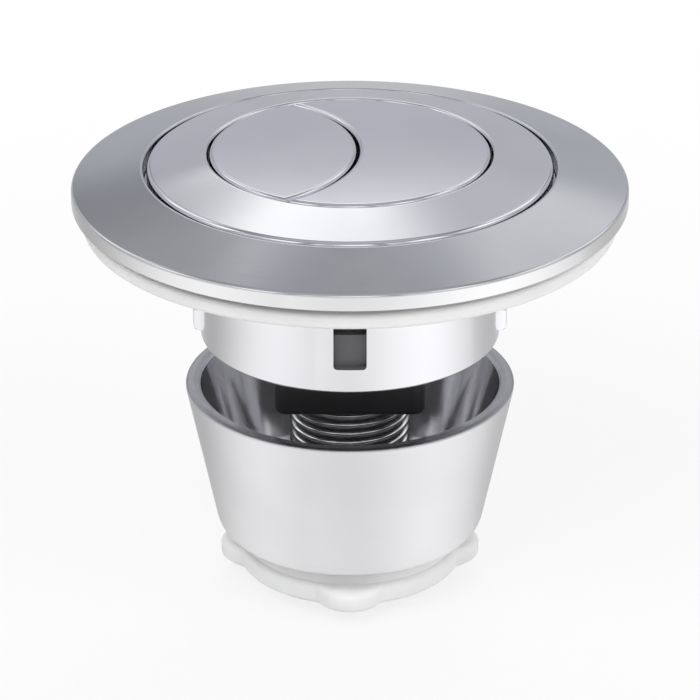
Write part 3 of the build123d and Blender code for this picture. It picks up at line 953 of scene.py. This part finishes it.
def makeFloor():
    s = floorShape
    half = s["half"]
    mesh = bpy.data.meshes.new("studioFloor")
    corners = [(-half, -half, 0), (half, -half, 0), (half, half, 0), (-half, half, 0)]
    mesh.from_pydata(corners, [], [(0, 1, 2, 3)])
    floor = addObject("studioFloor", mesh)
    floor.location.z = cadLow.z
    material = bpy.data.materials.new("paleFloor")
    material.use_nodes = True
    tree = material.node_tree
    tree.nodes.clear()
    path = addNode(tree, "ShaderNodeLightPath").outputs
    diffuse = addNode(tree, "ShaderNodeBsdfDiffuse")
    feed(tree, diffuse.inputs["Color"], s["tone"])
    white, inMetal = addNode(tree, "ShaderNodeEmission"), addNode(tree, "ShaderNodeEmission")
    feed(tree, inMetal.inputs["Color"], floorInMetal(tree))
    far = softStep(tree, axisDistance(tree, objectPlace(tree)), s["liftStart"], s["liftEnd"])
    lift = mathNode(tree, "MULTIPLY_ADD", far, 1 - s["cameraLift"], s["cameraLift"])
    surface = layered(
        tree,
        diffuse.outputs[0],
        (mathNode(tree, "MULTIPLY", path["Is Camera Ray"], lift), white.outputs[0]),
        (mathNode(tree, "MULTIPLY", path["Is Glossy Ray"], s["metalLift"]), inMetal.outputs[0]),
    )
    feed(tree, addNode(tree, "ShaderNodeOutputMaterial").inputs["Surface"], surface)
    mesh.materials.append(material)


# Room: white to the camera, and a plain level of light for the rest. Metal sees lavender grey walls that
# are pale low in front, with soft panels that repeat round them by a share of a turn. A panel is (tone,
# azimuths, heights), with four edges each way: where it starts, is full, starts to end and ends. One with
# azimuths past that share runs all round.
roomShape = {
    "level": 0.52, "tone": (0.470, 0.475, 0.518),
    "frontTone": (0.80, 0.805, 0.82), "frontDepths": (0.3, -0.5), "frontHeights": (0.33, 0.15),
    "panelTurn": 45,
    "panels": [
        ((0.250, 0.255, 0.27), (-22.5, -20.5, -19, -13), (0.1, 0.3, 0.9, 0.95)),
        ((0.870, 0.876, 0.89), (15, 18, 21, 22.5), (0.33, 0.50, 0.9, 0.95)),
        ((1.155, 1.160, 1.165), (-17.5, -10.5, 0, 15.5), (0.40, 0.51, 0.75, 0.79)),
        ((0.285, 0.290, 0.31), (-40, -30, 30, 40), (0.785, 0.815, 0.88, 0.95)),
    ],
}


# Rises from 0 to 1 over the first two edges and falls back over the last two
def softBand(tree, value, edges):
    rise = softStep(tree, value, *edges[:2])
    fall = softStep(tree, value, *edges[2:])
    return mathNode(tree, "SUBTRACT", rise, fall)


# The room as metal sees it: one tone, paler low in front, then the panels in turn. Each is a band of
# azimuth, wrapped to the turn that they repeat by, times a band of height.
def roomInMetal(tree):
    s = roomShape
    axes = axesOf(tree, addNode(tree, "ShaderNodeTexCoord").outputs["Generated"])
    half = np.radians(s["panelTurn"] / 2)
    azimuth = mathNode(tree, "WRAP", mathNode(tree, "ARCTAN2", axes["X"], axes["Y"]), half, -half)
    inFront = softStep(tree, axes["Y"], *s["frontDepths"])
    isLow = softStep(tree, axes["Z"], *s["frontHeights"])
    room = colourMix(tree, mathNode(tree, "MULTIPLY", inFront, isLow), s["tone"], s["frontTone"])
    for tone, azimuths, heights in s["panels"]:
        across = softBand(tree, azimuth, np.radians(azimuths))
        along = softBand(tree, axes["Z"], heights)
        room = colourMix(tree, mathNode(tree, "MULTIPLY", across, along), room, tone)
    return room


def background(tree, strength, colour):
    made = addNode(tree, "ShaderNodeBackground")
    feed(tree, made.inputs["Color"], colour)
    feed(tree, made.inputs["Strength"], strength)
    return made.outputs[0]


def makeWorld():
    world = bpy.data.worlds.new("studioWorld")
    bpy.context.scene.world = world
    world.use_nodes = True
    tree = world.node_tree
    tree.nodes.clear()
    path = addNode(tree, "ShaderNodeLightPath").outputs
    white = (1, 1, 1)
    surface = layered(
        tree,
        background(tree, roomShape["level"], white),
        (path["Is Glossy Ray"], background(tree, 1, roomInMetal(tree))),
        (path["Is Camera Ray"], background(tree, 1, white)),
    )
    feed(tree, addNode(tree, "ShaderNodeOutputWorld").inputs["Surface"], surface)


# Soft square lamps (name, place, size, power) that look at the origin. Metal shows the room's panels and
# not the lamps.
lamps = [
    ("keyLamp", (-0.35, -0.55, 0.75), 0.50, 3.9),
    ("fillLamp", (0.60, -0.40, 0.45), 0.45, 2.2),
    ("backLamp", (0.10, 0.70, 0.60), 0.60, 2.2),
]


def makeLamps():
    for name, place, size, power in lamps:
        lamp = bpy.data.lights.new(name, "AREA")
        lamp.size = size
        lamp.energy = power
        holder = addObject(name, lamp)
        holder.location = place
        holder.rotation_euler = (-Vector(place)).to_track_quat("-Z", "Y").to_euler()
        holder.visible_glossy = False


# Camera: in front, looking down with a long lens, the object filling the frame
cameraShape = {
    "elevation": 25.0, "distance": 0.56, "frame": 0.096, "aim": (0, 0, -0.0195),
    "sensor": 36.0, "clip": (0.01, 20),
}


def makeCamera():
    s = cameraShape
    data = bpy.data.cameras.new("mainCamera")
    data.sensor_width = s["sensor"]
    data.lens = s["sensor"] * s["distance"] / s["frame"]
    data.clip_start, data.clip_end = s["clip"]
    camera = addObject("mainCamera", data)
    tilt = np.radians(s["elevation"])
    back = Vector((0, -np.cos(tilt), np.sin(tilt)))
    camera.location = Vector(s["aim"]) + back * s["distance"]
    camera.rotation_euler = (-back).to_track_quat("-Z", "Y").to_euler()
    bpy.context.scene.camera = camera


makeFloor()
makeWorld()
makeLamps()
makeCamera()
bpy.context.scene.view_settings.view_transform = "Standard"
print("studio ready")
